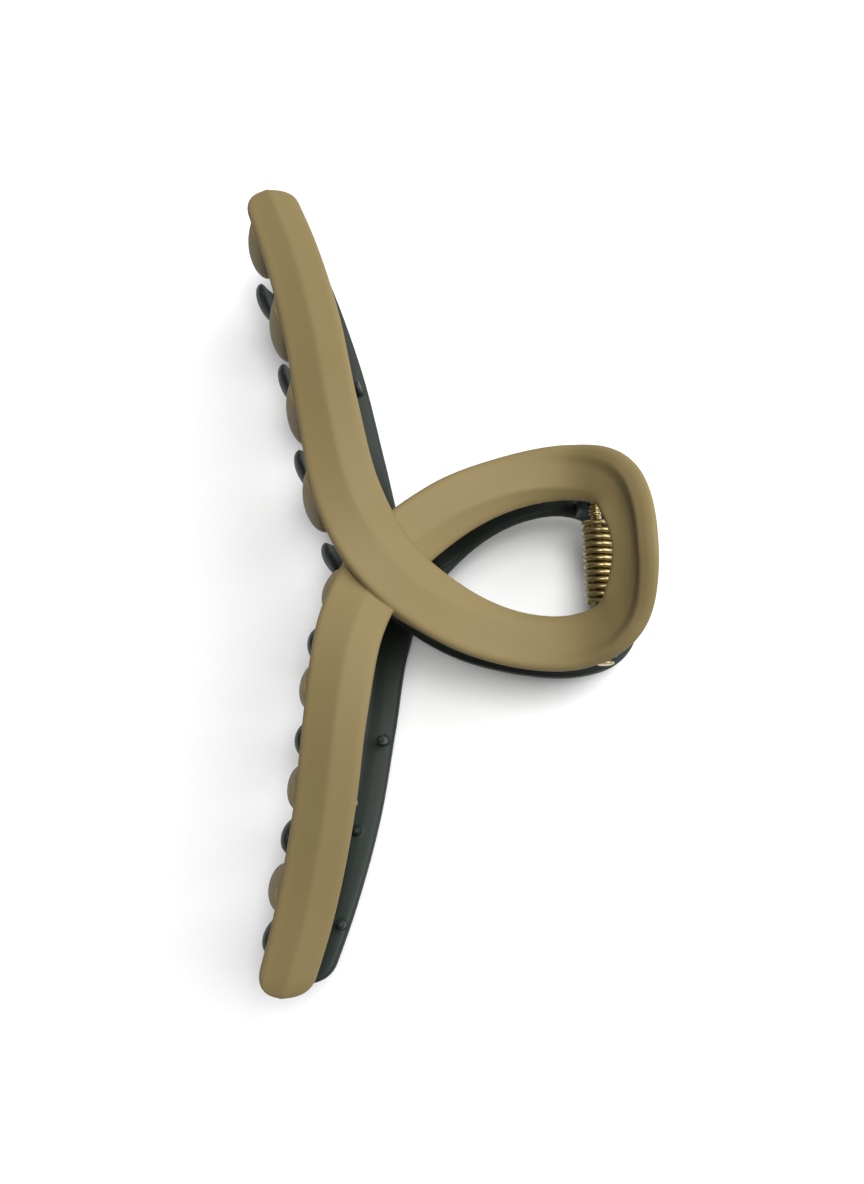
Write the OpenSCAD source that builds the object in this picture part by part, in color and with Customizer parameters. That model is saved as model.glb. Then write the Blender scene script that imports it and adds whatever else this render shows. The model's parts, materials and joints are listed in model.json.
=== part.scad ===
// Large loop claw clip, lying on its lower half. Millimetres, +Z up.
// Two identical mouldings face each other across the mating plane. Each one is a single ribbon
// that runs down one arm, crosses itself, goes round the finger loop and comes back down the other.
// A steel pin joins them inside the loop, and a torsion spring on the pin closes the teeth.
// X runs from the teeth to the loop, Y along the hinge pin. The mouldings are drawn about the
// hinge axis and the whole clip is then lifted onto the surface that it lies on.

/* [Ribbon] */
// Thickness of the moulded shell at the middle of the ribbon
shell = 1.9; // [1.4:0.1:2.4]
// Height of the soft ridge along the outer face
ridge = 0.55; // [0.2:0.05:0.9]
// Depth of the rims that turn in along both edges
rim = 2.1; // [1.6:0.1:2.4]
// How far one strand stands over the other where the ribbon crosses itself
crossing_step = 4.0; // [3.8:0.1:4.6]

/* [Teeth] */
// Number of teeth on each half
tooth_count = 8; // [4:1:8]
// Spacing of the teeth along the hinge direction
tooth_pitch = 15.65; // [14:0.05:16]
// Width of a tooth where it leaves the arm
tooth_w = 7.2; // [6:0.1:8.6]
// Thickness of a tooth where it leaves the arm
tooth_t = 3.2; // [2.4:0.1:3.4]
// How far a tooth bulges out past the edge of the arm
tooth_bulge = 3.6; // [2.4:0.1:4]
// How far a tooth passes the mating plane, as a share of the arm's height
tooth_overlap = 0.5; // [0.2:0.02:0.5]

/* [Grip pegs] */
// Radius of the small pegs inside the arms that grip the hair
peg_r = 0.8; // [0.6:0.1:1.2]
// Length of a peg below the rim of the arm
peg_len = 5.4; // [3:0.1:5.8]

/* [Hinge] */
// Diameter of the hinge pin
pin_d = 2.0; // [1.6:0.1:2.4]
// Running clearance between the pin and a knuckle, on the radius
pin_clearance = 0.05; // [0.02:0.01:0.10]
// Outer radius of a knuckle
knuckle_r = 2.5; // [2.2:0.1:2.8]
// Diameter of the pin's head
head_d = 3.0; // [2.4:0.1:3.6]

/* [Spring] */
// Outside diameter of the coil
coil_d = 5.8; // [5:0.1:6.4]
// Diameter of the spring wire
wire_d = 1.0; // [0.8:0.05:1.1]
// Number of whole turns
coil_turns = 12; // [8:1:13]

/* [Hidden] */
$fn = 48;

// One arm and its half of the loop, from the tip to the middle of the loop's far end:
// x, y and z of the ribbon's middle, its width, and its bank (inner edge up is positive).
strand = [
    [-53.6, 67.4, 8.4, 8.8, 0],
    [-49.0, 54.0, 11.4, 9.6, 5],
    [-45.2, 39.5, 15.2, 10.1, 11],
    [-42.5, 24.3, 17.9, 10.5, 13],
    [-39.5, 10.2, 17.3, 10.8, 2],
    [-33.8, -0.5, 13.5, 10.9, -14],
    [-24.8, -8.3, 9.4, 10.3, -10],
    [-14.8, -12.8, 6.9, 9.3, -3],
    [-4.8, -13.8, 7.6, 9.3, -10],
    [2.0, -10.2, 12.4, 9.7, -33],
    [4.0, 0, 16.2, 9.9, -51]
];
last = len(strand) - 1;
mirrored = [for (i = [last - 1:-1:0]) [for (k = [0:4]) k == 1 ? -strand[i][k] : strand[i][k]]];
ribbon = concat(strand, mirrored);
finish = len(ribbon) - 1;
skew = 0.2;               // how far the ribbon's own axis is turned from the hinge's, in degrees
crossing = 5.2;           // station at which a strand crosses the other one
steps = 7;                // rings between two stations
nose_len = 0.32;          // length of the rounded tip, in stations
tip_slant = 1.8;          // how much further a tip reaches at its outer edge than at its inner one
nose_steps = 6;

// Outline of the ribbon across its width: [place across, -0.5 outer edge to 0.5 inner edge; height].
arm_face = [
    [-0.5, -1.1], [-0.47, -0.5], [-0.41, -0.1], [-0.17, 0.6 * ridge],
    [0.07, ridge], [0.26, 0.1], [0.44, -0.45], [0.5, -1.1]
];
flare_face = [
    [-0.5, -0.5], [-0.47, 0.05], [-0.4, 0.15], [-0.26, -0.5],
    [-0.15, -0.85], [0.12, -0.65], [0.44, -0.2], [0.5, -0.8]
];
arm_back = [
    [0.45, -rim], [0.34, -rim + 0.1], [0.22, 0.1 - shell], [0, ridge - shell],
    [-0.22, 0.2 - shell], [-0.34, -rim + 0.1], [-0.45, -rim]
];
flare_back = [
    [0.46, -1.2 - rim / 3], [0.34, -0.3 - shell], [0.2, -0.6 - shell], [0, -0.7 - shell],
    [-0.22, -0.6 - shell], [-0.34, -0.1 - shell], [-0.46, -0.6 - rim / 2]
];
arm_outline = concat(arm_face, arm_back);
flare_outline = concat(flare_face, flare_back);

function unit(v) = v / norm(v);
function smooth(t) = let (c = min(max(t, 0), 1)) c * c * (3 - 2 * c);
function spline(rows, s) =
    let (
        i = min(floor(s), len(rows) - 2),
        t = s - i,
        b = rows[i],
        c = rows[i + 1],
        a = i > 0 ? rows[i - 1] : 2 * b - c,
        d = i + 2 < len(rows) ? rows[i + 2] : 2 * c - b
    )
    0.5 * (2 * b + (c - a) * t + (2 * a - 5 * b + 4 * c - d) * t * t + (3 * b - a - 3 * c + d) * t * t * t);
// Distance in stations from the nearer tip, and the lift of the over strand or drop of the under one.
function from_tip(s) = min(s, finish - s);
function lift(s) = (s < finish / 2 ? 0.5 : -0.5) * crossing_step * exp(-pow(from_tip(s) - crossing, 2));
function row(s) = spline(ribbon, s) + [0, 0, lift(s), 0, 0];
function place(s) = let (r = row(s))
    [r[0] * cos(skew) + r[1] * sin(skew), r[1] * cos(skew) - r[0] * sin(skew), r[2]];
function along(s) = unit(place(min(s + 0.02, finish)) - place(max(s - 0.02, 0)));
function level_out(s) = let (t = along(s)) unit([t[1], -t[0], 0]);
function out_dir(s) =
    let (o = level_out(s), n = cross(o, along(s)), b = row(s)[4]) o * cos(b) - n * sin(b);
function face_dir(s) = cross(out_dir(s), along(s));
function on_ribbon(s, v, h) = place(s) - out_dir(s) * v * row(s)[3] + face_dir(s) * h;
// Rounded tips: the ribbon narrows and thins over the last few millimetres, and its end is slanted.
function nose(s) =
    let (d = min(from_tip(s) / nose_len, 1)) pow(max(1 - pow(1 - d, 2.4), 0), 1 / 2.4);
function slant(s) =
    tip_slant * max(1 - from_tip(s) / nose_len, 0) * (s < finish / 2 ? 1 : -1) * along(s);
function section(s) =
    let (k = smooth((from_tip(s) - 6) / 3.2), n = nose(s))
    [for (i = [len(arm_outline) - 1:-1:0])
        let (p = arm_outline[i] * (1 - k) + flare_outline[i] * k)
        on_ribbon(s, p[0] * n, (p[1] + 0.9) * (0.4 + 0.6 * n) - 0.9) + slant(s) * p[0]];
tip_rings = [for (k = [0:nose_steps - 1]) nose_len * (1 - cos(90 * (k + 0.25) / nose_steps))];
ring_stations = concat(
    tip_rings,
    [for (i = [1:finish * steps]) if (i / steps > nose_len && i / steps < finish - nose_len) i / steps],
    [for (k = [nose_steps - 1:-1:0]) finish - tip_rings[k]]
);

// A closed skin over a list of rings that all have the same number of points.
module skin(rings) {
    n = len(rings[0]);
    m = len(rings);
    polyhedron(
        points = [for (r = rings) each r],
        faces = concat(
            [[for (i = [0:n - 1]) i]],
            [for (j = [0:m - 2]) for (i = [0:n - 1]) each [
                [j * n + i, (j + 1) * n + i, (j + 1) * n + (i + 1) % n],
                [j * n + i, (j + 1) * n + (i + 1) % n, j * n + (i + 1) % n]
            ]],
            [[for (i = [n - 1:-1:0]) (m - 1) * n + i]]
        )
    );
}

module ribbon_shell() skin([for (s = ring_stations) section(s)]);

// Posts inside the crossing that join the two strands: [x, y, bottom, radius].
posts = [[-33.2, 0.4, 9.9, 2], [-36, 2.2, 11.3, 2], [-31.6, 0.2, 9.7, 1.6]];
post_h = 4.6;
module crossing_posts() {
    for (p = posts) translate([p[0], p[1], p[2]]) cylinder(r = p[3], h = post_h);
}

// A tooth: a curved finger that leaves the arm's outer edge, bulges out and curls in past the
// mating plane. Its outer face is round, its inner face flatter, and it starts inside the arm's rim.
tooth_sides = 14;
tooth_turn = 112;         // how far round its bulge a tooth curls, in degrees
tooth_root = 1.6;         // how far inside the arm's edge and below its face a tooth starts
tooth_round = 0.64;       // share of its thickness that the round outer face takes
end_tooth_cut = 0.8;      // how much less the tooth under the +Y tip bulges
end_tooth_from = 54;      // place along Y past which a tooth is an end tooth
tooth_stops = [for (k = [0:9]) 0.995 * sin(10 * k)];
function tooth_mid(edge, out, v) =
    let (
        cut = edge[1] > end_tooth_from ? end_tooth_cut : 0,
        bulge = tooth_bulge - cut - tooth_round * tooth_t * 0.8,
        reach = (bulge + tooth_root) * sin(tooth_turn * pow(max(v, 0), 0.85)) - tooth_root,
        z0 = edge[2] - tooth_root
    )
    [edge[0] + out[0] * reach, edge[1] + out[1] * reach, z0 - (z0 + tooth_overlap * edge[2]) * v];
function tooth_ring(s, v) =
    let (
        edge = on_ribbon(s, -0.5, 0),
        out = level_out(s),
        run = [out[1], -out[0], 0],
        mid = tooth_mid(edge, out, v),
        dir = unit(tooth_mid(edge, out, v + 0.01) - tooth_mid(edge, out, v - 0.01)),
        side = cross(run, dir),
        taper = sqrt(1 - pow(v, 6)),
        a = 0.5 * tooth_w * (1 - 0.2 * v * v) * taper,
        b = tooth_t * (1 - 0.3 * v) * taper
    )
    [for (i = [0:tooth_sides - 1])
        let (q = -360 * i / tooth_sides, deep = sin(q) > 0 ? tooth_round : 1 - tooth_round)
        mid + run * a * cos(q) + side * b * deep * sin(q)];
module tooth(s) skin([for (v = tooth_stops) tooth_ring(s, v)]);
// The station on the arm whose outer edge is at the given y: upper arm above the crossing, else lower.
function edge_y(s) = on_ribbon(s, -0.5, 0)[1];
function find_station(y, lo, hi) =
    hi - lo < 0.005 ? lo : let (m = (lo + hi) / 2) edge_y(m) > y ? find_station(y, m, hi) : find_station(y, lo, m);
function arm_station(y) = y > 0 ? find_station(y, 0.2, 5) : find_station(y, finish - 5, finish - 0.2);
// Both halves carry the same row, set over by about a quarter of the pitch, so that the rows interleave.
tooth_shift = 0.26;
tooth_places = [for (i = [0:tooth_count - 1]) tooth_pitch * ((tooth_count - 1) / 2 - i + tooth_shift)];
module teeth() {
    for (y = tooth_places) tooth(arm_station(y));
}

// Pegs inside the arms: [station, share of the full length, place across].
pegs = [[0.78, 0.3, 0.34], [1.8, 0.12, 0.14], [2.85, 1, 0.34], [17.85, 1, 0.34]];
module grip_pegs() {
    for (p = pegs) {
        root = on_ribbon(p[0], p[2], -1);
        fall = rim - 1 + peg_len * p[1];
        translate(root - [0, 0, fall]) cylinder(r = peg_r, h = fall);
        translate(root - [0, 0, fall]) sphere(r = peg_r);
    }
}

// Hinge knuckles, one on each side of the spring. The outer one is a closed bore, the inner one
// a saddle that is open towards the other half.
outer_knuckle = [11.8, 15.2];
inner_knuckle = [-11.5, -9.2];
lug_side = [
    [-knuckle_r, 0], [-3, 5], [-3, 7], [-2, 7.8], [1.4, 9.6], [2.8, 9.6], [knuckle_r, 0]
];
module lug(span) {
    translate([0, span[1], 0]) rotate([90, 0, 0]) {
        linear_extrude(span[1] - span[0]) polygon(lug_side);
        cylinder(r = knuckle_r, h = span[1] - span[0]);
    }
}
module hinge_lugs() {
    lug(outer_knuckle);
    difference() {
        lug(inner_knuckle);
        translate([-5, inner_knuckle[0] - 1, -5.3]) cube([10, inner_knuckle[1] - inner_knuckle[0] + 2, 5]);
    }
}

module moulding() {
    difference() {
        union() {
            ribbon_shell();
            crossing_posts();
            teeth();
            grip_pegs();
            hinge_lugs();
        }
        translate([0, 20, 0]) rotate([90, 0, 0]) cylinder(r = pin_d / 2 + pin_clearance, h = 40);
    }
}

// Rest position: the middle of the clip's length and width over the origin, its lowest point on Z = 0.
ribbon_points = [for (s = ring_stations) each section(s)];
far_x = max([for (p = ribbon_points) p[0]]);
near_x = min([for (y = tooth_places) for (v = tooth_stops) for (p = tooth_ring(arm_station(y), v)) p[0]]);
hinge_z = max([for (p = ribbon_points) p[2]]);
mid_x = (near_x + far_x) / 2;
module rest() {
    translate([-mid_x, 0, hinge_z]) children();
}

module upper_jaw() {
    color([0.55, 0.49, 0.34]) rest() moulding();
}

module lower_jaw() {
    color([0.2, 0.23, 0.2]) rest() rotate([180, 0, 0]) moulding();
}

// The pin: a plain shank with a domed head, and fine ribs along the end that grips the upper half.
shank = [-16.8, 15.6];
ribbed_from = 7.8;
rib_pitch = 0.62;
rib_depth = 0.16;
head_t = 0.6;
module hinge_pin() {
    r = pin_d / 2;
    ribs = floor((shank[1] - ribbed_from) / rib_pitch);
    profile = concat(
        [[0, shank[0] - head_t], [0.6 * head_d / 2, shank[0] - head_t], [head_d / 2, shank[0] - head_t / 2],
            [head_d / 2, shank[0]], [r, shank[0]]],
        [for (i = [0:ribs - 1]) let (y = ribbed_from + i * rib_pitch) each
            [[r, y], [r - rib_depth, y + 0.16], [r - rib_depth, y + 0.26], [r, y + 0.42]]],
        [[r, shank[1] - 0.3], [r - 0.3, shank[1]], [0, shank[1]]]
    );
    color([0.72, 0.6, 0.34]) rest() rotate([-90, 0, 0]) rotate_extrude() polygon(profile);
}

// The spring: a close coil on the pin, with a leg at each end that bears on the inside of the
// loop's flared end, one on each half.
coil_r = (coil_d - wire_d) / 2;
coil_pitch = 1.2;
turn_steps = 16;
wire_sides = 8;
leg_len = 8.2;
leg_steps = 4;
coil_half = coil_turns * coil_pitch / 2;
coil_slack = 0.4;         // the legs push the coil this far off the pin's centre
function coil_point(a) =
    [coil_slack + coil_r * cos(a), -coil_half + coil_pitch * a / 360, coil_r * sin(a)];
coil_path = concat(
    [for (k = [leg_steps:-1:1]) coil_point(0) - [0, 0, leg_len * k / leg_steps]],
    [for (k = [0:coil_turns * turn_steps]) coil_point(360 * k / turn_steps)],
    [for (k = [1:leg_steps]) coil_point(360 * coil_turns) + [0, 0, leg_len * k / leg_steps]]
);
module torsion_spring() {
    n = len(coil_path);
    color([0.74, 0.62, 0.36]) rest() skin([for (i = [0:n - 1])
        let (
            t = unit(coil_path[min(i + 1, n - 1)] - coil_path[max(i - 1, 0)]),
            u = unit(cross(t, [0, 1, 0])),
            w = cross(t, u)
        )
        [for (q = [0:wire_sides - 1])
            coil_path[i] + (u * cos(360 * q / wire_sides) + w * sin(360 * q / wire_sides)) * wire_d / 2]
    ]);
}

upper_jaw();
lower_jaw();
hinge_pin();
torsion_spring();
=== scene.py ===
"""Looks for the loop claw clip: fine jaw meshes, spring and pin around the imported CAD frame."""

import json
import math

import bmesh
import bpy
import numpy as np
from mathutils import Euler, Matrix, Vector


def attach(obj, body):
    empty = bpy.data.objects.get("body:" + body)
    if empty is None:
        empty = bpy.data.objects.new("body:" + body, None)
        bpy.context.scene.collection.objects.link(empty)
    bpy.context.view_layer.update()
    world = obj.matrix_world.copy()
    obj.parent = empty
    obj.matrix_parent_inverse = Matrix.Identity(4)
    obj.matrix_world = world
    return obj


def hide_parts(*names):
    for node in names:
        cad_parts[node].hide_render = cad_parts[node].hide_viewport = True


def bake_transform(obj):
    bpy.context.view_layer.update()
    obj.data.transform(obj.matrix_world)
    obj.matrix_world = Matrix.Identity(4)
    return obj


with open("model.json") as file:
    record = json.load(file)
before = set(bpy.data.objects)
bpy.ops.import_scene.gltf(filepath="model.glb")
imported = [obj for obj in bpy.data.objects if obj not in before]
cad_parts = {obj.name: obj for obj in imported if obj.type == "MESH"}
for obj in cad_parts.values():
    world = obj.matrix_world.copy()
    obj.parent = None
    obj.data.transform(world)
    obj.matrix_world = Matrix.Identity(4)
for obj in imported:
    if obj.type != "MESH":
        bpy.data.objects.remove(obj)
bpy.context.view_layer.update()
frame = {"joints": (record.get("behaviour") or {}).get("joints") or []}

# Everything is worked out in millimetres about the hinge axis, as in the CAD, and then moved
# to the row frame in metres.
MM = 0.001
HINGE = np.array(frame["joints"][0]["pos_m"])

# ---------------------------------------------------------------- the ribbon

# One arm and its half of the loop, tip to the middle of the loop's far end:
# x, y, z, width, bank in degrees (inner edge up is positive).
STRAND = np.array([
    [-53.6, 67.4, 8.4, 8.8, 0],
    [-49.0, 54.0, 11.4, 9.6, 5],
    [-45.2, 39.5, 15.2, 10.1, 11],
    [-42.5, 24.3, 17.9, 10.5, 13],
    [-39.5, 10.2, 17.3, 10.8, 2],
    [-33.8, -0.5, 13.5, 10.9, -14],
    [-24.8, -8.3, 9.4, 10.3, -10],
    [-14.8, -12.8, 6.9, 9.3, -3],
    [-4.8, -13.8, 7.6, 9.3, -10],
    [2.0, -10.2, 12.4, 9.7, -33],
    [4.0, 0, 16.2, 9.9, -51],
])
MIRROR_Y = np.array([1, -1, 1, 1, 1])
RIBBON = np.concatenate([STRAND, STRAND[-2::-1] * MIRROR_Y])
FINISH = len(RIBBON) - 1
CROSSING = 5.2            # station where a strand crosses the other one
CROSSING_STEP = 4.0       # height of one strand over the other there
SHELL = 1.9
RIM = 2.1

SKEW = math.radians(0.2)  # the ribbon's own axis is turned this far from the hinge's
FILL = 2.4                # how much deeper the over strand is where it meets the other
DROP = 0.9                # how far the under strand's inner edge falls away beside the hole
DROP_AT = 12.6            # station where it falls most

# How the outer face changes along the ribbon: station, width of the lip along the outer edge,
# height of the fold at its inner side, depth of the dish inside it, place of the ridge
# (0 outer edge to 1 inner edge), ridge height.
FACE_KEYS = np.array([
    [0, 0.9, 0.08, 0, 0.57, 0.55],
    [5.6, 0.9, 0.08, 0, 0.57, 0.6],
    [6.5, 1.1, 0.08, 0.1, 0.72, 0.45],
    [7.4, 1.3, 0.1, 0.3, 0.88, 0.15],
    [8.6, 1.6, 0.3, 1, 0.8, 0],
    [9.4, 2.3, 0.5, 1.5, 0.72, 0],
    [10, 2.8, 0.6, 1.7, 0.7, 0],
    [10.7, 2.7, 0.5, 1.5, 0.72, 0],
    [11.4, 2.3, 0.2, 0.6, 0.8, 0.1],
    [12.3, 1.3, 0.1, 0.2, 0.76, 0.35],
    [13.5, 1.0, 0.08, 0.05, 0.66, 0.55],
    [14.6, 0.9, 0.08, 0, 0.57, 0.55],
    [FINISH, 0.9, 0.08, 0, 0.57, 0.55],
])
NOSE_LEN = (0.26, 0.36)   # length of a rounded tip, in stations: outer half, inner half
TIP_SLANT = 1.8           # how much further a tip reaches at its outer edge than at its inner one
SLANT_LEN = 0.32          # length of the slanted end, in stations
OUTLINE_POINTS = 80
EDGE_ROUND = 0.25         # how much the outline's corners are rounded off


def unit(v):
    return v / np.linalg.norm(v, axis=-1, keepdims=True)


def spline(rows, s):
    """Catmull-Rom through the rows, at stations s."""
    s = np.atleast_1d(s).astype(float)
    i = np.clip(np.floor(s).astype(int), 0, len(rows) - 2)
    t = (s - i)[:, None]
    ends = np.concatenate([[2 * rows[0] - rows[1]], rows, [2 * rows[-1] - rows[-2]]])
    a, b, c, d = ends[i], ends[i + 1], ends[i + 2], ends[i + 3]
    return 0.5 * (2 * b + (c - a) * t + (2 * a - 5 * b + 4 * c - d) * t**2 + (3 * b - a - 3 * c + d) * t**3)


def from_tip(s):
    return np.minimum(s, FINISH - s)


def rows_at(s):
    r = spline(RIBBON, s)
    side = np.where(np.atleast_1d(s) < FINISH / 2, 0.5, -0.5)
    r[:, 2] += side * CROSSING_STEP * np.exp(-(from_tip(np.atleast_1d(s)) - CROSSING) ** 2)
    x, y = r[:, 0].copy(), r[:, 1].copy()
    r[:, 0] = x * math.cos(SKEW) + y * math.sin(SKEW)
    r[:, 1] = y * math.cos(SKEW) - x * math.sin(SKEW)
    return r


def frames(s):
    """Centre, outward, face, level-outward and forward directions, and width at stations s."""
    s = np.atleast_1d(s).astype(float)
    r = rows_at(s)
    ahead, behind = rows_at(np.minimum(s + 0.02, FINISH)), rows_at(np.maximum(s - 0.02, 0))
    t = unit(ahead[:, :3] - behind[:, :3])
    level = unit(np.stack([t[:, 1], -t[:, 0], np.zeros(len(s))], 1))
    up = np.cross(level, t)
    b = np.radians(r[:, 4])[:, None]
    out = level * np.cos(b) - up * np.sin(b)
    return r[:, :3], out, np.cross(out, t), level, t, r[:, 3]


def edge_at(s):
    p, out, _, level, _, w = frames(s)
    return (p + out * 0.5 * w[:, None])[0], level[0]


def rounded(points, count, radius):
    """A closed outline resampled evenly and rounded off by about the radius."""
    loop = np.concatenate([points, points[:1]])
    run = np.concatenate([[0], np.cumsum(np.linalg.norm(np.diff(loop, axis=0), axis=1))])
    at = np.arange(count) / count * run[-1]
    even = np.stack([np.interp(at, run, loop[:, k]) for k in (0, 1)], 1)
    sigma = radius / (run[-1] / count)
    span = np.arange(count)
    span = np.minimum(span, count - span)
    kernel = np.exp(-0.5 * (span / sigma) ** 2)
    kernel = np.fft.rfft(kernel / kernel.sum())
    return np.stack([np.fft.irfft(np.fft.rfft(even[:, k]) * kernel, count) for k in (0, 1)], 1)


def outline(s, w):
    """The cross-section at one station: across from the outer edge in mm, height in mm."""
    lip, fold, dish, ridge_at, ridge = [np.interp(s, FACE_KEYS[:, 0], FACE_KEYS[:, k]) for k in range(1, 6)]
    ridge_x = ridge_at * w
    inner_x = max(ridge_x + 0.4, w - 0.7)
    valley_x = lip + 1.2 + 1.6 * fold
    deep = FILL * math.exp(-((s - CROSSING) / 0.65) ** 4)
    drop = DROP * math.exp(-((s - DROP_AT) / 1.3) ** 2)
    top = [
        (0, -1.15), (0.12, -0.55), (0.4 * lip, 0.4 * fold - 0.15), (lip, fold),
        (valley_x, 0.16 - 0.7 * dish), (0.5 * (valley_x + ridge_x), 0.35 - 0.95 * dish),
        (ridge_x, ridge - 0.6 * dish), (inner_x, -0.42 + 0.1 * dish - 0.6 * drop), (w - 0.05, -0.75 - drop),
        (w, -1.15 - 0.8 * drop),
    ]
    back = [
        (w - 0.45, -RIM - deep), (w - 1.4, 0.05 - RIM - deep), (w * 0.7, 0.05 - SHELL - 0.6 * dish - deep),
        (w * 0.5, 0.5 - SHELL - 0.9 * dish - deep), (w * 0.3, 0.15 - SHELL - 0.6 * dish - deep),
        (1.4, 0.05 - RIM - deep), (0.45, -RIM + 0.32 * dish - deep),
    ]
    return rounded(np.array(top + back), OUTLINE_POINTS, EDGE_ROUND)


def nose(s):
    """Width factors (outer half, inner half) and height factor near a rounded tip."""
    factors = [max(1 - (1 - min(from_tip(s) / n, 1)) ** 2.4, 0) ** (1 / 2.4) for n in NOSE_LEN]
    return factors[0], factors[1], 0.4 + 0.6 * min(factors)


def ribbon_rings():
    edge = [0.4 * (1 - math.cos(math.pi / 2 * (k + 0.2) / 14)) for k in range(14)]
    body = np.linspace(0.4, FINISH - 0.4, 330)
    stations = np.concatenate([edge, body[1:-1], [FINISH - e for e in reversed(edge)]])
    p, out, face, _, ahead, w = frames(stations)
    rings = []
    for i, s in enumerate(stations):
        shape = outline(s, w[i])
        v = shape[:, 0] - 0.5 * w[i]
        outer, inner, high = nose(s)
        v = np.where(v < 0, v * outer, v * inner)
        h = (shape[:, 1] + 0.9) * high - 0.9
        slant = TIP_SLANT * max(1 - from_tip(s) / SLANT_LEN, 0) * (1 if s < FINISH / 2 else -1) * v / w[i]
        rings.append(p[i] - out[i] * v[:, None] + face[i] * h[:, None] + ahead[i] * slant[:, None])
    return rings


# ---------------------------------------------------------------- teeth, pegs and knuckles

TOOTH_COUNT = 8
TOOTH_PITCH = 15.65
TOOTH_SHIFT = 0.26
TOOTH_W = 7.2
TOOTH_T = 3.2
TOOTH_BULGE = 3.6
TOOTH_INSET = 0.22        # keeps the fuller tooth tips inside the CAD's own outline
END_TOOTH_CUT = 0.8
END_TOOTH_FROM = 54
TOOTH_OVERLAP = 0.5
TOOTH_TURN = math.radians(112)
TOOTH_ROOT = 1.6
TOOTH_ROUND = 0.64
# Grip pegs: station, share of the full length, place across.
PEGS = [(0.78, 0.3, 0.34), (1.8, 0.12, 0.14), (2.85, 1, 0.34), (17.85, 1, 0.34)]
PEG_R = 0.8
PEG_LEN = 5.4
KNUCKLE_R = 2.5
OUTER_KNUCKLE = (11.8, 15.2)
INNER_KNUCKLE = (-11.5, -9.2)
LUG_SIDE = [(-3, 5), (-3, 7), (-2, 7.8), (1.4, 9.6), (2.8, 9.6)]
POSTS = [(-33.2, 0.4, 9.9, 2), (-36, 2.2, 11.3, 2), (-31.6, 0.2, 9.7, 1.6)]
POST_H = 3.8
BORE_R = 1.05
VOXEL = 0.18              # grain of the fused mesh


def arm_station(y):
    lo, hi = (0.2, 5.0) if y > 0 else (FINISH - 5.0, FINISH - 0.2)
    while hi - lo > 0.005:
        mid = (lo + hi) / 2
        if edge_at(mid)[0][1] > y:
            lo = mid
        else:
            hi = mid
    return lo


def tooth_rings(s, sides=28, count=26):
    edge, out = edge_at(s)
    run = np.array([out[1], -out[0], 0])
    cut = END_TOOTH_CUT if edge[1] > END_TOOTH_FROM else 0
    bulge = TOOTH_BULGE - TOOTH_INSET - cut - TOOTH_ROUND * TOOTH_T * 0.8
    z0 = edge[2] - TOOTH_ROOT

    def mid(v):
        reach = (bulge + TOOTH_ROOT) * math.sin(TOOTH_TURN * max(v, 0) ** 0.85) - TOOTH_ROOT
        height = z0 - (z0 + TOOTH_OVERLAP * edge[2]) * v
        return np.array([edge[0] + out[0] * reach, edge[1] + out[1] * reach, height])

    rings = []
    for k in range(count):
        v = 0.995 * math.sin(math.pi / 2 * k / (count - 1))
        side = np.cross(run, unit(mid(v + 0.01) - mid(v - 0.01)))
        taper = math.sqrt(1 - v**6)
        a = 0.5 * TOOTH_W * (1 - 0.2 * v * v) * taper
        b = TOOTH_T * (1 - 0.12 * v) * taper
        q = -2 * math.pi * np.arange(sides) / sides
        deep = np.where(np.sin(q) > 0, TOOTH_ROUND, 1 - TOOTH_ROUND)
        rings.append(mid(v) + run * (a * np.cos(q))[:, None] + side * (b * deep * np.sin(q))[:, None])
    return rings


def rod_rings(base, tip, r, sides=24, dome=False):
    """A vertical rod between two heights, with a round end at the first if asked."""
    q = 2 * math.pi * np.arange(sides) / sides
    circle = np.stack([np.cos(q), np.sin(q), np.zeros(sides)], 1)
    steps = [(base[2], r), (tip, r)]
    if dome:
        steps += [(tip - r * math.sin(a), r * math.cos(a)) for a in np.linspace(0.2, 1.5, 6)]
    centre = np.array([base[0], base[1], 0])
    return [centre + circle * rr + np.array([0, 0, z]) for z, rr in steps]


def skin(rings, vertices, faces):
    """Adds a closed skin over rings of equal length to the vertex and face lists."""
    start = sum(len(v) for v in vertices)
    n, m = len(rings[0]), len(rings)
    vertices.extend(rings)
    for j in range(m - 1):
        for i in range(n):
            a, b = start + j * n + i, start + j * n + (i + 1) % n
            faces.append((a, b, b + n, a + n))
    faces.append(tuple(start + i for i in reversed(range(n))))
    faces.append(tuple(start + (m - 1) * n + i for i in range(n)))


def mesh_from(name, vertices, faces):
    data = bpy.data.meshes.new(name)
    data.from_pydata([tuple(v) for v in np.concatenate(vertices)], [], faces)
    data.update()
    return data


def piece(name, data):
    obj = bpy.data.objects.new(name, data)
    bpy.context.scene.collection.objects.link(obj)
    return obj


def outward(obj):
    """Points every face outwards."""
    bm = bmesh.new()
    bm.from_mesh(obj.data)
    bmesh.ops.recalc_face_normals(bm, faces=bm.faces)
    bm.to_mesh(obj.data)
    bm.free()


def apply_modifiers(obj):
    bpy.context.view_layer.update()
    baked = bpy.data.meshes.new_from_object(obj.evaluated_get(bpy.context.evaluated_depsgraph_get()))
    old = obj.data
    obj.modifiers.clear()
    obj.data = baked
    bpy.data.meshes.remove(old)


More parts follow.
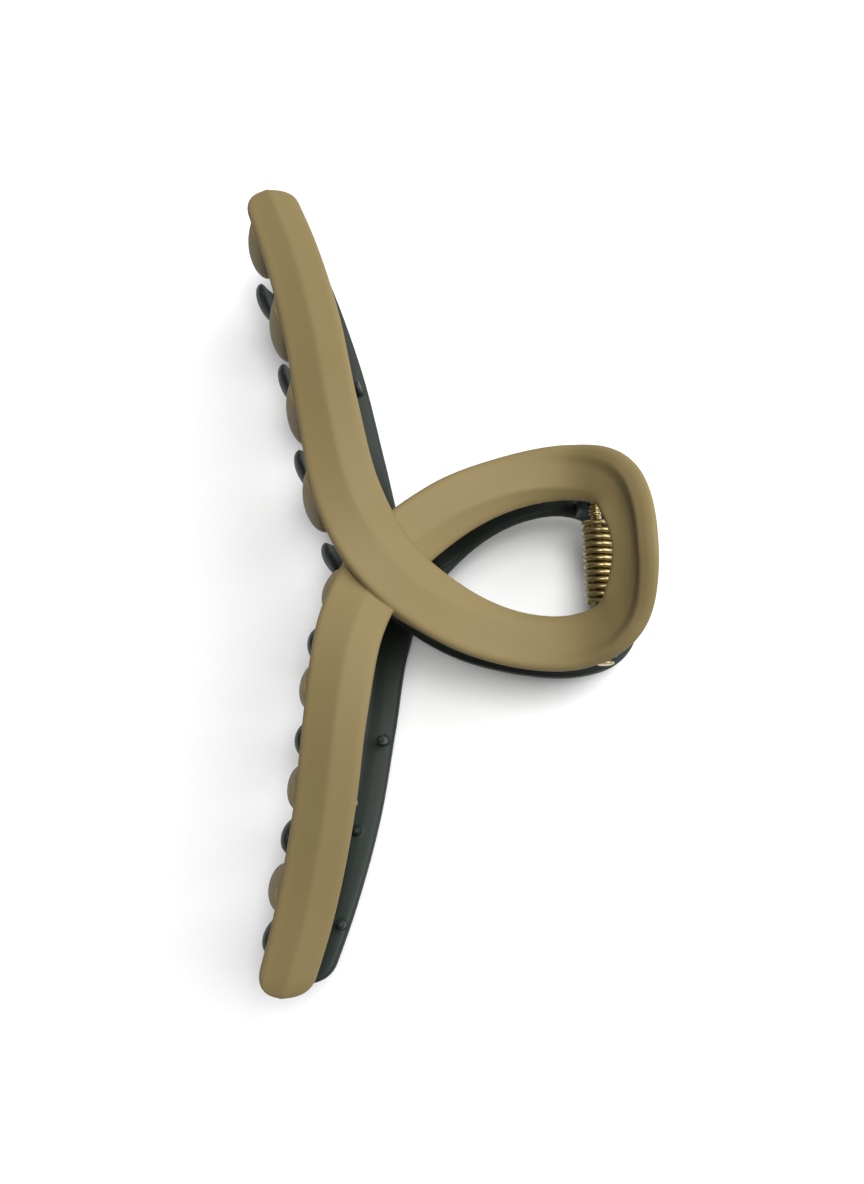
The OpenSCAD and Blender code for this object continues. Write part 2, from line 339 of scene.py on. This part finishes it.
def lug_piece(name, span, saddle):
    """A knuckle and the web that joins it to the strand, bored for the pin."""
    arc = np.radians(np.arange(0, -181, -9) if not saddle else [0, -7, -173, -180])
    side = [(KNUCKLE_R * math.cos(a), KNUCKLE_R * math.sin(a)) for a in arc] + LUG_SIDE
    rings = [[(x, y, z) for x, z in side] for y in span]
    vertices, faces = [], []
    skin([np.array(r) for r in rings], vertices, faces)
    lug = piece(name, mesh_from(name, vertices, faces))
    outward(lug)
    q = np.radians(np.arange(0, 360, 10))
    ends = (span[0] - 1, span[1] + 1)
    hole = [np.stack([BORE_R * np.cos(q), np.full(len(q), y), BORE_R * np.sin(q)], 1) for y in ends]
    vertices, faces = [], []
    skin(hole, vertices, faces)
    drill = piece(name + "_drill", mesh_from(name + "_drill", vertices, faces))
    outward(drill)
    cut = lug.modifiers.new("bore", "BOOLEAN")
    cut.operation, cut.object, cut.solver = "DIFFERENCE", drill, "EXACT"
    apply_modifiers(lug)
    bpy.data.objects.remove(drill)
    return lug


def moulding(name):
    """One jaw about the hinge axis, in millimetres: all its parts fused and softened."""
    vertices, faces = [], []
    skin(ribbon_rings(), vertices, faces)
    for i in range(TOOTH_COUNT):
        y = TOOTH_PITCH * ((TOOTH_COUNT - 1) / 2 - i + TOOTH_SHIFT)
        skin(tooth_rings(arm_station(y)), vertices, faces)
    for s, share, across in PEGS:
        p, out, face, _, _, w = frames(s)
        root = (p - out * across * w[:, None] - face)[0]
        skin(rod_rings(root, root[2] - (RIM - 1 + PEG_LEN * share), PEG_R, dome=True), vertices, faces)
    for x, y, z, r in POSTS:
        skin(rod_rings((x, y, z), z + POST_H, r), vertices, faces)
    jaw = piece(name, mesh_from(name, vertices, faces))
    outward(jaw)
    outer_lug = lug_piece(name + "_outer_lug", OUTER_KNUCKLE, False)
    inner_lug = lug_piece(name + "_inner_lug", INNER_KNUCKLE, True)
    with bpy.context.temp_override(active_object=jaw, selected_editable_objects=[jaw, outer_lug, inner_lug]):
        bpy.ops.object.join()
    jaw.data.transform(Matrix.Scale(MM, 4))
    remesh = jaw.modifiers.new("fuse", "REMESH")
    remesh.mode = "VOXEL"
    remesh.voxel_size = VOXEL * MM
    soften = jaw.modifiers.new("soften", "SMOOTH")
    soften.factor, soften.iterations = 0.5, 5
    apply_modifiers(jaw)
    jaw.data.transform(Matrix.Scale(1 / MM, 4))
    return jaw


def settle(obj, turn=False):
    """Moves a piece drawn about the hinge in millimetres into the row frame."""
    count = len(obj.data.vertices)
    co = np.empty(count * 3)
    obj.data.vertices.foreach_get("co", co)
    co = co.reshape(-1, 3)
    if turn:
        co = co * np.array([1, -1, -1])
    obj.data.vertices.foreach_set("co", (co * MM + HINGE).ravel())
    obj.data.polygons.foreach_set("use_smooth", [True] * len(obj.data.polygons))
    obj.data.update()


# ---------------------------------------------------------------- spring and pin

COIL_D = 5.8
WIRE_D = 1.0
COIL_TURNS = 12
COIL_PITCH = 1.2
COIL_SLACK = 0.4          # the legs push the coil this far off the pin's centre
LEG_LEN = 8.2
PIN_R = 1.0
HEAD_R = 1.5
HEAD_T = 0.6
SHANK = (-16.8, 15.6)
RIBBED_FROM = 7.8
RIB_PITCH = 0.62
RIB_DEPTH = 0.16


def tube_rings(path, r, sides):
    """Rings round a path that turns about the Y axis, with rounded ends."""
    path = np.array(path)
    t = unit(np.gradient(path, axis=0))
    u = unit(np.cross(t, [0, 1, 0]))
    w = np.cross(t, u)
    q = 2 * math.pi * np.arange(sides) / sides

    def ring(i, k, shift):
        around = u[i] * np.cos(q)[:, None] + w[i] * np.sin(q)[:, None]
        return path[i] + t[i] * shift + around * r * k

    first = [ring(0, k, r * 0.5 * (1 - k * k) * -1) for k in (0.3, 0.7, 0.92)]
    last = [ring(-1, k, r * 0.5 * (1 - k * k)) for k in (0.92, 0.7, 0.3)]
    return first + [ring(i, 1, 0) for i in range(len(path))] + last


def spring_piece():
    r = (COIL_D - WIRE_D) / 2
    half = COIL_TURNS * COIL_PITCH / 2
    a = np.linspace(0, 2 * math.pi * COIL_TURNS, COIL_TURNS * 56 + 1)
    coil = np.stack([COIL_SLACK + r * np.cos(a), -half + COIL_PITCH * a / (2 * math.pi), r * np.sin(a)], 1)
    legs = np.linspace(LEG_LEN - 0.3, 0.6, 12)
    low = [(COIL_SLACK + r, -half, -z) for z in legs]
    high = [(COIL_SLACK + r, half, z) for z in reversed(legs)]
    vertices, faces = [], []
    skin(tube_rings(np.concatenate([low, coil, high]), WIRE_D / 2, 16), vertices, faces)
    spring = piece("spring_coil", mesh_from("spring_coil", vertices, faces))
    outward(spring)
    return spring


def pin_piece():
    """The pin as a turned profile: radius against place along the hinge axis."""
    slopes = np.linspace(0.03, 1.45, 7)
    dome = [(HEAD_R * math.sin(b), SHANK[0] - HEAD_T + 0.35 * (1 - math.cos(b))) for b in slopes]
    profile = dome + [(HEAD_R, SHANK[0] - 0.12), (HEAD_R - 0.1, SHANK[0]), (PIN_R, SHANK[0])]
    ribs = int((SHANK[1] - RIBBED_FROM) / RIB_PITCH)
    for i in range(ribs):
        y = RIBBED_FROM + i * RIB_PITCH
        profile += [(PIN_R, y), (PIN_R - 0.7 * RIB_DEPTH, y + 0.1), (PIN_R - RIB_DEPTH, y + 0.2),
                    (PIN_R - 0.7 * RIB_DEPTH, y + 0.3), (PIN_R, y + 0.4)]
    profile += [(PIN_R, SHANK[1] - 0.3), (PIN_R - 0.1, SHANK[1] - 0.1), (PIN_R - 0.35, SHANK[1])]
    q = 2 * math.pi * np.arange(48) / 48
    rings = [np.stack([r * np.cos(q), np.full(48, y), r * np.sin(q)], 1) for r, y in profile]
    vertices, faces = [], []
    skin(rings, vertices, faces)
    pin = piece("pin_turned", mesh_from("pin_turned", vertices, faces))
    outward(pin)
    return pin


# ---------------------------------------------------------------- materials

def new_material(name):
    mat = bpy.data.materials.new(name)
    mat.use_nodes = True
    return mat, mat.node_tree.nodes, mat.node_tree.links, mat.node_tree.nodes["Principled BSDF"]


def soft_touch(name, colour, shade, roughness, speck, gloss):
    """Moulded plastic with a matte coating: slow colour drift, fine grain and a few dust specks."""
    mat, nodes, links, bsdf = new_material(name)
    place = nodes.new("ShaderNodeTexCoord")
    drift = nodes.new("ShaderNodeTexNoise")
    drift.inputs["Scale"].default_value = 45
    drift.inputs["Detail"].default_value = 3
    mix = nodes.new("ShaderNodeMix")
    mix.data_type = "RGBA"
    mix.inputs["A"].default_value = colour + (1,)
    mix.inputs["B"].default_value = shade + (1,)
    dust = nodes.new("ShaderNodeTexVoronoi")
    dust.inputs["Scale"].default_value = 260
    few = nodes.new("ShaderNodeMapRange")
    few.inputs["From Min"].default_value = 0.075
    few.inputs["From Max"].default_value = 0.05
    pick = nodes.new("ShaderNodeMath")
    pick.operation = "GREATER_THAN"
    pick.inputs[1].default_value = 0.97
    both = nodes.new("ShaderNodeMath")
    both.operation = "MULTIPLY"
    dusted = nodes.new("ShaderNodeMix")
    dusted.data_type = "RGBA"
    dusted.inputs["B"].default_value = speck + (1,)
    grain = nodes.new("ShaderNodeTexNoise")
    grain.inputs["Scale"].default_value = 3200
    grain.inputs["Detail"].default_value = 2
    bump = nodes.new("ShaderNodeBump")
    bump.inputs["Strength"].default_value = 0.12
    bump.inputs["Distance"].default_value = 0.00005
    rough = nodes.new("ShaderNodeMapRange")
    rough.inputs["To Min"].default_value = roughness - 0.04
    rough.inputs["To Max"].default_value = roughness + 0.05
    for node in (drift, dust, grain):
        links.new(place.outputs["Object"], node.inputs["Vector"])
    links.new(drift.outputs["Fac"], mix.inputs["Factor"])
    links.new(dust.outputs["Distance"], few.inputs["Value"])
    links.new(dust.outputs["Color"], pick.inputs[0])
    links.new(few.outputs["Result"], both.inputs[0])
    links.new(pick.outputs["Value"], both.inputs[1])
    links.new(both.outputs["Value"], dusted.inputs["Factor"])
    links.new(mix.outputs["Result"], dusted.inputs["A"])
    links.new(dusted.outputs["Result"], bsdf.inputs["Base Color"])
    links.new(drift.outputs["Fac"], rough.inputs["Value"])
    links.new(rough.outputs["Result"], bsdf.inputs["Roughness"])
    links.new(grain.outputs["Fac"], bump.inputs["Height"])
    links.new(bump.outputs["Normal"], bsdf.inputs["Normal"])
    bsdf.inputs["Specular IOR Level"].default_value = gloss
    bsdf.inputs["Sheen Weight"].default_value = 0.02
    bsdf.inputs["Sheen Roughness"].default_value = 0.5
    return mat


def gold_plate(name, colour, shade, roughness):
    """Pale gold plating over steel, a little uneven, with fine marks from drawing the wire."""
    mat, nodes, links, bsdf = new_material(name)
    place = nodes.new("ShaderNodeTexCoord")
    uneven = nodes.new("ShaderNodeTexNoise")
    uneven.inputs["Scale"].default_value = 900
    uneven.inputs["Detail"].default_value = 4
    mix = nodes.new("ShaderNodeMix")
    mix.data_type = "RGBA"
    mix.inputs["A"].default_value = colour + (1,)
    mix.inputs["B"].default_value = shade + (1,)
    rough = nodes.new("ShaderNodeMapRange")
    rough.inputs["To Min"].default_value = roughness - 0.08
    rough.inputs["To Max"].default_value = roughness + 0.1
    bump = nodes.new("ShaderNodeBump")
    bump.inputs["Strength"].default_value = 0.15
    bump.inputs["Distance"].default_value = 0.00003
    links.new(place.outputs["Object"], uneven.inputs["Vector"])
    links.new(uneven.outputs["Fac"], mix.inputs["Factor"])
    links.new(mix.outputs["Result"], bsdf.inputs["Base Color"])
    links.new(uneven.outputs["Fac"], rough.inputs["Value"])
    links.new(rough.outputs["Result"], bsdf.inputs["Roughness"])
    links.new(uneven.outputs["Fac"], bump.inputs["Height"])
    links.new(bump.outputs["Normal"], bsdf.inputs["Normal"])
    bsdf.inputs["Metallic"].default_value = 1
    return mat


# ---------------------------------------------------------------- the clip

upper = moulding("khaki_jaw")
lower = piece("green_jaw", upper.data.copy())
settle(upper)
settle(lower, turn=True)
spring = spring_piece()
settle(spring)
pin = pin_piece()
settle(pin)

khaki = soft_touch(
    "khaki_soft_touch", (0.186, 0.142, 0.062), (0.168, 0.127, 0.054), 0.6, (0.6, 0.57, 0.5), 0.16
)
green = soft_touch(
    "green_soft_touch", (0.014, 0.021, 0.016), (0.012, 0.018, 0.014), 0.5, (0.45, 0.45, 0.43), 0.2
)
upper.data.materials.append(khaki)
lower.data.materials.append(green)
gold = gold_plate("pale_gold_wire", (0.42, 0.34, 0.16), (0.34, 0.27, 0.12), 0.36)
spring.data.materials.append(gold)
pin.data.materials.append(gold_plate("pale_gold_pin", (0.45, 0.36, 0.18), (0.38, 0.3, 0.14), 0.3))

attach(upper, "upper_jaw")
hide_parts("upper_jaw")
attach(lower, "lower_jaw")
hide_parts("lower_jaw")
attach(pin, "upper_jaw")
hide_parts("hinge_pin")
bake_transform(spring)
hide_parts("torsion_spring")

# ---------------------------------------------------------------- camera, floor and light

CAMERA_AT = Vector((HINGE[0] - 0.01236, -0.0359, 0.214))     # metres
CAMERA_TURN = (9.25, 5.05, -2.5)      # degrees about X, Y, Z
LENS_MM = 35.6
LAMP_W = 2.6              # soft ceiling lamp, in watts
WINDOW_W = 6.4            # window at the loop's side, in watts
ROOM = 0.15               # strength of the even light from all round

camera_data = bpy.data.cameras.new("camera")
camera_data.lens = LENS_MM
camera_data.sensor_width = 36
camera_data.clip_start = 0.01
camera = piece("camera", camera_data)
camera.location = CAMERA_AT
camera.rotation_euler = Euler([math.radians(a) for a in CAMERA_TURN])
bpy.context.scene.camera = camera


def floor_piece(half=2.0):
    data = bpy.data.meshes.new("floor")
    corners = [(-half, -half, 0), (half, -half, 0), (half, half, 0), (-half, half, 0)]
    data.from_pydata(corners, [], [(0, 1, 2, 3)])
    floor = piece("floor", data)
    mat, _, _, bsdf = new_material("white_table")
    bsdf.inputs["Base Color"].default_value = (0.82, 0.82, 0.82, 1)
    bsdf.inputs["Roughness"].default_value = 0.6
    data.materials.append(mat)


def area_light(name, at, size, power, aim=(0, 0, 0.01), colour=(1, 1, 1)):
    data = bpy.data.lights.new(name, "AREA")
    data.shape, data.size, data.energy, data.color = "DISK", size, power, colour
    light = piece(name, data)
    light.location = at
    light.rotation_euler = (Vector(aim) - Vector(at)).to_track_quat("-Z", "Y").to_euler()


floor_piece()
area_light("lamp", (0.06, 0.02, 0.6), 0.22, LAMP_W)
area_light("window", (0.42, 0.2, 0.5), 0.7, WINDOW_W)
world = bpy.data.worlds.new("room")
world.use_nodes = True
world.node_tree.nodes["Background"].inputs["Color"].default_value = (1, 1, 1, 1)
world.node_tree.nodes["Background"].inputs["Strength"].default_value = ROOM
bpy.context.scene.world = world
bpy.context.scene.view_settings.view_transform = "Standard"
